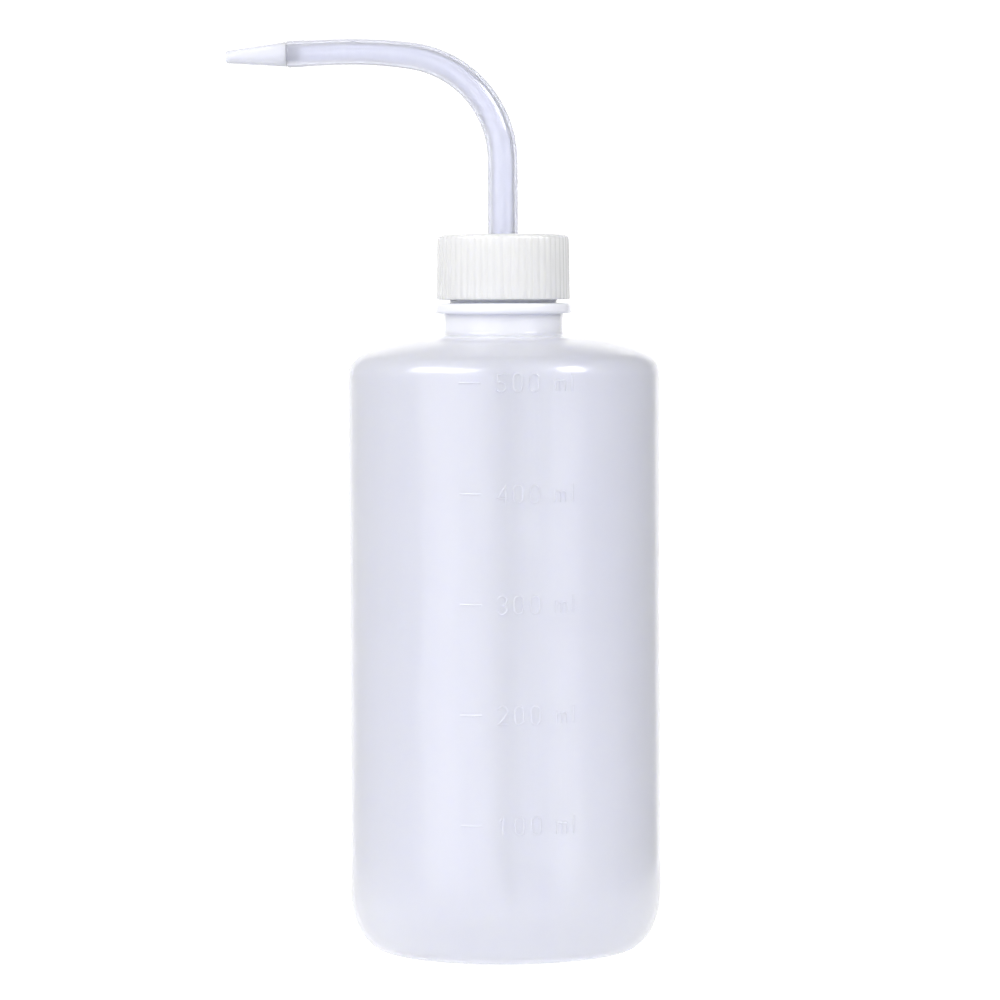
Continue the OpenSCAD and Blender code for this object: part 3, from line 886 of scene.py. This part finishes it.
def bottle_outline(shape):
    """The bottle's section, from the floor's middle up the inside and down the outside."""
    at = bottle_levels(shape)
    wall = shape.wall
    turn = math.degrees(shape.corner_turn)
    recess = (at["foot_inner"] - shape.recess, 0)
    inner_recess = (shape.recess + shape.floor, shape.push_up + shape.floor)
    start = math.degrees(math.asin(shape.floor / inner_recess[1]))
    chamfer = 0.5 * MM
    bead_round = 0.8 * MM
    base = (at["foot_outer"], shape.base_height)
    inner = [(0, shape.push_up + shape.floor)]
    inner += arc(recess, inner_recess, 90, start, 14)
    inner += arc(base, (shape.base_width - wall, shape.base_height - shape.floor), -90, 0, 24)
    inner += arc(at["corner"], shape.corner - wall, 0, turn, 14)
    inner += arc(at["dome"], at["dome_radius"] - wall, turn, 90, 16)
    inner += arc(at["fillet"], shape.fillet + wall, 270, 180, 8)
    inner += [
        (shape.neck - wall, at["bead_bottom"]),
        (shape.mouth, at["bead_top"]),
        (shape.mouth, shape.rim - chamfer),
    ]
    outer = [
        (shape.mouth + chamfer, shape.rim),
        (shape.finish - chamfer, shape.rim),
        (shape.finish, shape.rim - chamfer),
        (shape.finish, at["bead_top"]),
    ]
    bead = shape.bead - bead_round
    outer += arc((bead, at["bead_top"] - bead_round), bead_round, 90, 0, 6)
    outer += arc((bead, at["bead_bottom"] + bead_round), bead_round, 0, -90, 6)
    outer += [(shape.neck, at["bead_bottom"])]
    outer += arc(at["fillet"], shape.fillet, 180, 270, 8)
    outer += arc(at["dome"], at["dome_radius"], 90, turn, 16)
    outer += arc(at["corner"], shape.corner, turn, 0, 14)
    outer += arc(base, (shape.base_width, shape.base_height), 0, -90, 24)
    outer += arc(recess, (shape.recess, shape.push_up), 0, 90, 14)
    outer += [(0, shape.push_up)]
    return tidy_outline(inner + outer)


def tidy_outline(points, least=1e-6):
    """Leaves out points that fall on the one before."""
    kept = [points[0]]
    for p in points[1:]:
        if math.dist(p, kept[-1]) > least:
            kept.append(p)
    return kept


class WASHBOTTLE_OT_bottle(Operator):
    """Makes the blow-moulded bottle with its neck thread and graduations"""

    bl_idname = "washbottle.bottle"
    bl_label = "Bottle"

    def execute(self, context):
        scene = context.scene
        shape, thread, looks = scene.wb_bottle, scene.wb_thread, scene.wb_finishes
        bottle = settle(turned("bottle_shell", bottle_outline(shape), edge=0.1 * MM))
        rib = helix_rib(
            "neck_thread", shape.finish, thread.depth, thread_start(scene), thread.neck_turns, thread
        )
        fuse(bottle, rib, build_marks(scene.wb_marks, shape.radius))
        plastic = blown_plastic("bottle_plastic", looks.bottle, looks.neck, shape.rim)
        hand_over(bottle, "bottle", ["bottle"], plastic)
        return {"FINISHED"}


def cap_mesh(shape):
    """The ribbed cap as a cage: rings of points, with grooves where a ring is ribbed."""
    low, top = CAP_LOW.z, CAP_HIGH.z
    roof_z = top - shape.roof
    upper = shape.cap_radius - shape.cap_draft
    corner = shape.cap_corner
    edge = 0.2 * MM
    rings = [(shape.bore + edge, low, 0), (shape.cap_radius - edge, low, 0.3)]
    rings += [(shape.cap_radius, low + edge, 0.9), (shape.cap_radius, low + 3 * edge, 1)]
    rings += [((shape.cap_radius + upper) / 2, (low + top) / 2, 1)]
    bend = arc((upper - corner, top - corner), corner, 0, 90, 5)
    rings += [(r, z, f) for (r, z), f in zip(bend, (1, 0.8, 0.45, 0.1, 0, 0))]
    rings += [(shape.hole + 3 * edge, top, 0), (shape.hole + edge, top, 0)]
    rings += [(shape.hole, top - edge, 0), (shape.hole, roof_z + edge, 0)]
    rings += [(shape.hole + edge, roof_z, 0), (shape.hole + 3 * edge, roof_z, 0)]
    rings += [(shape.bore - 7 * edge, roof_z, 0), (shape.bore - 3 * edge, roof_z, 0)]
    rings += [(shape.bore - edge, roof_z - edge / 4, 0)]
    rings += [(shape.bore, roof_z - edge, 0), (shape.bore, (low + roof_z) / 2, 0)]
    rings += [(shape.bore, low + edge, 0)]
    groove = (0.0, 0.15, 1.0, 0.15)
    rows = []
    columns = shape.ribs * len(groove)
    for radius, z, ribbing in rings:
        deep = [shape.rib_depth * ribbing * groove[k % len(groove)] for k in range(columns)]
        rows.append([(*polar(radius - d, math.tau * k / columns), z) for k, d in enumerate(deep)])
    mesh = grid_mesh("screw_cap_body", rows)
    outwards(mesh)
    return mesh


class WASHBOTTLE_OT_cap(Operator):
    """Makes the ribbed screw cap with its inner thread"""

    bl_idname = "washbottle.cap"
    bl_label = "Screw cap"

    def execute(self, context):
        scene = context.scene
        shape, thread, looks = scene.wb_closure, scene.wb_thread, scene.wb_finishes
        cap = settle(subdivide(new_piece("screw_cap_body", cap_mesh(shape)), 1))
        start = thread_start(scene) - thread.lag
        rib = helix_rib("cap_thread", shape.bore, -thread.depth, start, thread.cap_turns, thread)
        fuse(cap, rib)
        plastic = moulded_plastic(
            "cap_plastic", looks.cap, haze=0.12, clear=0.42, depth=3.0 * MM, grain=0.006 * MM
        )
        hand_over(cap, "cap", ["screw_cap"], plastic)
        return {"FINISHED"}


class WASHBOTTLE_OT_liner(Operator):
    """Makes the foamed liner in the cap's roof"""

    bl_idname = "washbottle.liner"
    bl_label = "Cap liner"

    def execute(self, context):
        scene = context.scene
        hole = scene.wb_tubes.base + 0.5 * MM
        outline = [
            (LINER_HIGH.x, LINER_HIGH.z), (LINER_HIGH.x, LINER_LOW.z),
            (hole, LINER_LOW.z), (hole, LINER_HIGH.z),
        ]
        liner = turned("cap_liner_ring", outline, edge=0.15 * MM)
        foam = foamed_plastic("liner_foam", scene.wb_finishes.foam)
        hand_over(liner, "liner", ["cap_liner"], foam)
        return {"FINISHED"}


class WASHBOTTLE_OT_plug(Operator):
    """Makes the plug that seals the mouth and holds both tubes"""

    bl_idname = "washbottle.plug"
    bl_label = "Plug"

    def execute(self, context):
        scene = context.scene
        shape, tubes, bottle = scene.wb_closure, scene.wb_tubes, scene.wb_bottle
        top, low = PLUG_HIGH.z, PLUG_LOW.z
        flange_z = top - shape.flange + SEAT_GAP
        skirt_r = bottle.mouth - RUN_GAP
        skirt_z = bottle.rim - shape.skirt
        spout_r = tubes.end + RUN_GAP
        dip_r = tubes.dip + SEAT_GAP
        land_top = top - shape.spout_socket
        land_low = land_top - shape.land
        inside = skirt_r - shape.skirt_wall
        outline = [
            (PLUG_HIGH.x, top), (PLUG_HIGH.x, flange_z), (skirt_r, flange_z),
            (skirt_r, skirt_z + 0.6 * MM), (skirt_r - 0.3 * MM, skirt_z), (inside, skirt_z),
            (inside, flange_z), (shape.boss, flange_z), (shape.boss, low), (dip_r, low),
            (dip_r, land_low), (tubes.base_bore, land_low), (tubes.base_bore, land_top),
            (spout_r, land_top), (spout_r, top),
        ]
        plug = turned("plug_body", outline, steps=128, edge=0.12 * MM)
        plastic = moulded_plastic(
            "plug_plastic", scene.wb_finishes.cap, haze=0.4, clear=0.05, depth=2.0 * MM,
            grain=0.01 * MM,
        )
        hand_over(plug, "closure", ["plug"], plastic)
        return {"FINISHED"}


def spout_path(shape):
    """Stations up the spout: (x, z, lean, outer radius, bore radius)."""
    foot = SPOUT_LOW.z
    flange_top = PLUG_HIGH.z
    bend_start = flange_top + shape.rise
    edge = 0.15 * MM
    step_z = flange_top + 2 * SEAT_GAP
    column = [
        (foot, shape.end - 0.4 * MM), (foot + edge, shape.end - 0.3 * MM),
        (foot + 0.8 * MM, shape.end), (flange_top - edge, shape.end),
        (flange_top + SEAT_GAP, shape.end), (step_z, shape.base - 0.3 * MM),
        (step_z + edge, shape.base),
    ]
    straight = 4
    for i in range(1, straight):
        z = flange_top + 1 * MM + (bend_start - flange_top - 1 * MM) * i / straight
        column.append((z, shape.base))
    stations = [(0, z, 0, radius, shape.base_bore) for z, radius in column]
    bend_x = -shape.bend
    sweep_x = bend_x + (shape.bend - shape.sweep) * math.cos(shape.bend_turn)
    sweep_z = bend_start + (shape.bend - shape.sweep) * math.sin(shape.bend_turn)
    bends = [(shape.bend_turn * i / 18, bend_x, bend_start, shape.bend) for i in range(19)]
    bends += [
        (shape.bend_turn + shape.sweep_turn * i / 5, sweep_x, sweep_z, shape.sweep)
        for i in range(1, 6)
    ]
    for lean, x, z, radius in bends:
        gone = shape.bend * min(lean, shape.bend_turn)
        gone += shape.sweep * max(0, lean - shape.bend_turn)
        thin = min(1, gone / shape.taper)
        stations.append((
            x + radius * math.cos(lean),
            z + radius * math.sin(lean),
            lean,
            shape.base + (shape.end - shape.base) * thin,
            shape.base_bore + (shape.end_bore - shape.base_bore) * thin,
        ))
    x0, z0, lean = stations[-1][:3]
    fat = shape.end + shape.swell
    for along, outer in (
        (0.3, shape.end), (0.5, shape.end), (0.64, fat), (0.8, fat), (0.97, fat), (0.99, fat - edge),
        (1.0, fat - 0.3 * MM),
    ):
        d = shape.run * along
        stations.append(
            (x0 - d * math.sin(lean), z0 + d * math.cos(lean), lean, outer, shape.end_bore)
        )
    return stations


def run_place(shape):
    """The place of the spout's far end, with Z along the run towards the nozzle."""
    x, z, lean = spout_path(shape)[-1][:3]
    return Matrix.Translation((x, 0, z)) @ Matrix.Rotation(-lean, 4, "Y")


class WASHBOTTLE_OT_spout(Operator):
    """Makes the bent, tapered spout"""

    bl_idname = "washbottle.spout"
    bl_label = "Spout"

    def execute(self, context):
        scene = context.scene
        spout = pipe("spout_pipe", spout_path(scene.wb_tubes))
        smooth(spout.data, math.radians(60))
        plastic = drawn_plastic(
            "spout_plastic", scene.wb_finishes.tube, haze=0.07, clear=0.8,
            depth=2.5 * MM, along=(1.0, 1.0, 0.1),
        )
        hand_over(spout, "spout", ["spout_tube"], plastic)
        return {"FINISHED"}


class WASHBOTTLE_OT_nozzle(Operator):
    """Makes the tapered nozzle in the spout's end"""

    bl_idname = "washbottle.nozzle"
    bl_label = "Nozzle"

    def execute(self, context):
        scene = context.scene
        shape = scene.wb_tubes
        spigot_r = shape.end_bore - SEAT_GAP
        throat = spigot_r - 0.5 * MM
        tip_round = 0.5 * MM
        taper_in = 5 * MM
        tip = (shape.nozzle_end - tip_round, shape.nozzle - tip_round)
        outline = arc(tip, tip_round, 90, 0, 6)
        outline += [
            (shape.nozzle_base, SEAT_GAP), (spigot_r, SEAT_GAP),
            (spigot_r, 0.6 * MM - shape.spigot), (spigot_r - 0.3 * MM, -shape.spigot),
            (throat, -shape.spigot), (throat, 0),
            (shape.outlet, shape.nozzle - taper_in), (shape.outlet, shape.nozzle),
        ]
        nozzle = turned("nozzle_cone", outline, steps=64, edge=0.12 * MM)
        place(nozzle, run_place(shape))
        plastic = drawn_plastic(
            "nozzle_plastic", scene.wb_finishes.tube, haze=0.22, clear=0.4,
            depth=2.0 * MM, along=(0.1, 1.0, 1.0),
        )
        hand_over(nozzle, "spout", ["nozzle_tip"], plastic)
        return {"FINISHED"}


class WASHBOTTLE_OT_dip_tube(Operator):
    """Makes the dip tube with its slanted lower end"""

    bl_idname = "washbottle.dip_tube"
    bl_label = "Dip tube"

    def execute(self, context):
        scene = context.scene
        shape = scene.wb_tubes
        slant = math.tan(shape.dip_cut)
        edge = 0.15 * MM
        sides = 24
        wide_r = cage_radius(shape.dip, sides)
        bore_r = cage_radius(shape.dip_bore, sides)
        foot, top = DIP_LOW.z, DIP_HIGH.z

        def ring(radius, z, cut):
            turns = [math.tau * k / sides for k in range(sides)]
            return [
                (*polar(radius, t), z + (slant * (wide_r - radius * math.cos(t)) if cut else 0))
                for t in turns
            ]

        above_cut = foot + 2 * shape.dip * slant + 3 * MM
        middle = (foot + top) / 2
        stations = (
            (wide_r - edge, foot, True), (wide_r, foot + edge, True), (wide_r, above_cut, False),
            (wide_r, middle, False), (wide_r, top - edge, False), (wide_r - edge, top, False),
            (bore_r + edge, top, False), (bore_r, top - edge, False), (bore_r, middle, False),
            (bore_r, above_cut, False), (bore_r, foot + edge, True), (bore_r + edge, foot, True),
        )
        rows = [ring(*station) for station in stations]
        mesh = grid_mesh("dip_pipe", rows)
        outwards(mesh)
        tube = even(subdivide(new_piece("dip_pipe", mesh), 2))
        smooth(tube.data, math.radians(60))
        plastic = drawn_plastic(
            "dip_plastic", scene.wb_finishes.tube, haze=0.2, clear=0.8,
            depth=2.0 * MM, along=(1.0, 1.0, 0.05),
        )
        hand_over(tube, "closure", ["dip_tube"], plastic)
        return {"FINISHED"}


# ---------------------------------------------------------------- studio


def soft_light(name, place_at, aim, size, power, colour):
    """A rectangular soft light that faces a point."""
    data = bpy.data.lights.new(name, "AREA")
    data.shape = "RECTANGLE"
    data.size, data.size_y = size
    data.energy = power
    data.color = colour
    light = bpy.data.objects.new(name, data)
    bpy.context.scene.collection.objects.link(light)
    light.location = place_at
    light.rotation_euler = (Vector(aim) - Vector(place_at)).to_track_quat("-Z", "Y").to_euler()


def sky_world(strength):
    """Light from all round: white behind, dimmer overhead, with one dark corner."""
    world = bpy.data.worlds.new("studio_sky")
    bpy.context.scene.world = world
    world.use_nodes = True
    nodes, links = world.node_tree.nodes, world.node_tree.links
    nodes.clear()
    output = nodes.new("ShaderNodeOutputWorld")
    output.location = (700, 0)
    sky = nodes.new("ShaderNodeBackground")
    sky.label = "Sky"
    sky.location = (500, 0)
    sky.inputs["Strength"].default_value = strength
    links.new(sky.outputs["Background"], output.inputs["Surface"])
    direction = nodes.new("ShaderNodeTexCoord")
    direction.location = (-500, 0)
    split = nodes.new("ShaderNodeSeparateXYZ")
    split.label = "Direction"
    split.location = (-300, 0)
    links.new(direction.outputs["Generated"], split.inputs["Vector"])
    behind = nodes.new("ShaderNodeMapRange")
    behind.label = "White behind"
    behind.location = (-80, 260)
    behind.inputs["From Min"].default_value = 0.8
    behind.inputs["From Max"].default_value = 0.9
    links.new(split.outputs["Y"], behind.inputs["Value"])
    side = nodes.new("ShaderNodeMapRange")
    side.label = "Dimmer overhead"
    side.location = (-80, -260)
    side.inputs["From Min"].default_value = 0.2
    side.inputs["From Max"].default_value = 0.9
    side.inputs["To Min"].default_value = 0.82
    side.inputs["To Max"].default_value = 0.76
    links.new(split.outputs["Z"], side.inputs["Value"])
    towards = nodes.new("ShaderNodeVectorMath")
    towards.label = "Towards the dark corner"
    towards.location = (-300, -20)
    towards.operation = "DOT_PRODUCT"
    towards.inputs[1].default_value = (0.62, 0.62, 0.48)
    links.new(direction.outputs["Generated"], towards.inputs[0])
    corner = nodes.new("ShaderNodeMapRange")
    corner.label = "Upper right, behind"
    corner.location = (-80, 0)
    corner.inputs["From Min"].default_value = 0.55
    corner.inputs["From Max"].default_value = 0.75
    links.new(towards.outputs["Value"], corner.inputs["Value"])
    room = nodes.new("ShaderNodeMix")
    room.label = "Sides or dark corner"
    room.location = (140, -120)
    room.inputs["B"].default_value = 0.48
    links.new(corner.outputs["Result"], room.inputs["Factor"])
    links.new(side.outputs["Result"], room.inputs["A"])
    mix = nodes.new("ShaderNodeMix")
    mix.label = "Room or backdrop"
    mix.location = (320, 60)
    mix.inputs["B"].default_value = 1.32
    links.new(behind.outputs["Result"], mix.inputs["Factor"])
    links.new(room.outputs["Result"], mix.inputs["A"])
    links.new(mix.outputs["Result"], sky.inputs["Color"])


class WASHBOTTLE_OT_studio(Operator):
    """Makes the floor, the lights and the camera"""

    bl_idname = "washbottle.studio"
    bl_label = "Studio"

    def execute(self, context):
        scene = context.scene
        studio = scene.wb_studio
        table_radius = 0.16
        sides = 96
        rim = [math.tau * k / sides for k in range(sides)]
        mesh = bpy.data.meshes.new("studio_table")
        mesh.from_pydata([(*polar(table_radius, a), 0) for a in rim], [], [range(sides)])
        table = new_piece("studio_table", mesh)
        table.data.materials.append(floor_paper("table_paper"))

        sky_world(studio.sky)
        middle = (0, 0, 0.12)
        white = (1, 0.99, 1)
        soft_light("key_left", (-0.77, -0.68, 0.76), middle, (1.06, 0.5), studio.key, white)
        soft_light("fill_right", (0.86, -0.59, 0.76), middle, (0.37, 0.5), studio.fill, white)
        away, centre, tall = 1.2, 0.1, 0.7
        for name, turn, width, share in (
            ("strip_left", -49, 0.58, 1), ("strip_front", -19, 0.74, 0.6),
            ("strip_right", 46, 0.5, 0.85),
        ):
            x, y = polar(away, math.radians(turn - 90))
            power = share * studio.strips * math.pi * width * tall
            soft_light(name, (x, y, centre), (0, 0, centre), (width, tall), power, white)

        data = bpy.data.cameras.new("camera")
        data.sensor_width = 36
        data.lens = studio.lens
        data.clip_start, data.clip_end = 0.05, 100
        camera = bpy.data.objects.new("camera", data)
        scene.collection.objects.link(camera)
        look = Matrix.Rotation(math.pi / 2 - studio.tilt, 4, "X")
        lean = Matrix.Rotation(studio.roll, 4, "Z")
        spot = Matrix.Translation((-studio.aside, -studio.distance, studio.height))
        camera.matrix_world = spot @ look @ lean
        scene.camera = camera
        scene.view_settings.view_transform = "Standard"
        return {"FINISHED"}


# ---------------------------------------------------------------- add-on


class WASHBOTTLE_PT_panel(Panel):
    """Lists the pieces and their sizes"""

    bl_idname = "WASHBOTTLE_PT_panel"
    bl_label = "Wash Bottle"
    bl_space_type = "VIEW_3D"
    bl_region_type = "UI"
    bl_category = "Wash Bottle"

    def draw(self, context):
        for group, kind in GROUPS.items():
            box = self.layout.box()
            box.label(text=kind.__doc__.rstrip("."))
            for field in kind.__annotations__:
                box.prop(getattr(context.scene, group), field)
        for operator in OPERATORS:
            self.layout.operator(operator.bl_idname)


OPERATORS = (
    WASHBOTTLE_OT_studio,
    WASHBOTTLE_OT_bottle,
    WASHBOTTLE_OT_cap,
    WASHBOTTLE_OT_liner,
    WASHBOTTLE_OT_plug,
    WASHBOTTLE_OT_spout,
    WASHBOTTLE_OT_nozzle,
    WASHBOTTLE_OT_dip_tube,
)
CLASSES = (*GROUPS.values(), *OPERATORS, WASHBOTTLE_PT_panel)


def register():
    for cls in CLASSES:
        bpy.utils.register_class(cls)
    for name, kind in GROUPS.items():
        setattr(bpy.types.Scene, name, PointerProperty(type=kind))


def unregister():
    for name in GROUPS:
        delattr(bpy.types.Scene, name)
    for cls in reversed(CLASSES):
        bpy.utils.unregister_class(cls)


def main():
    register()
    bpy.ops.washbottle.studio()
    bpy.ops.washbottle.bottle()
    bpy.ops.washbottle.cap()
    bpy.ops.washbottle.liner()
    bpy.ops.washbottle.plug()
    bpy.ops.washbottle.spout()
    bpy.ops.washbottle.nozzle()
    bpy.ops.washbottle.dip_tube()
    bpy.context.view_layer.update()


if __name__ == "__main__":
    main()
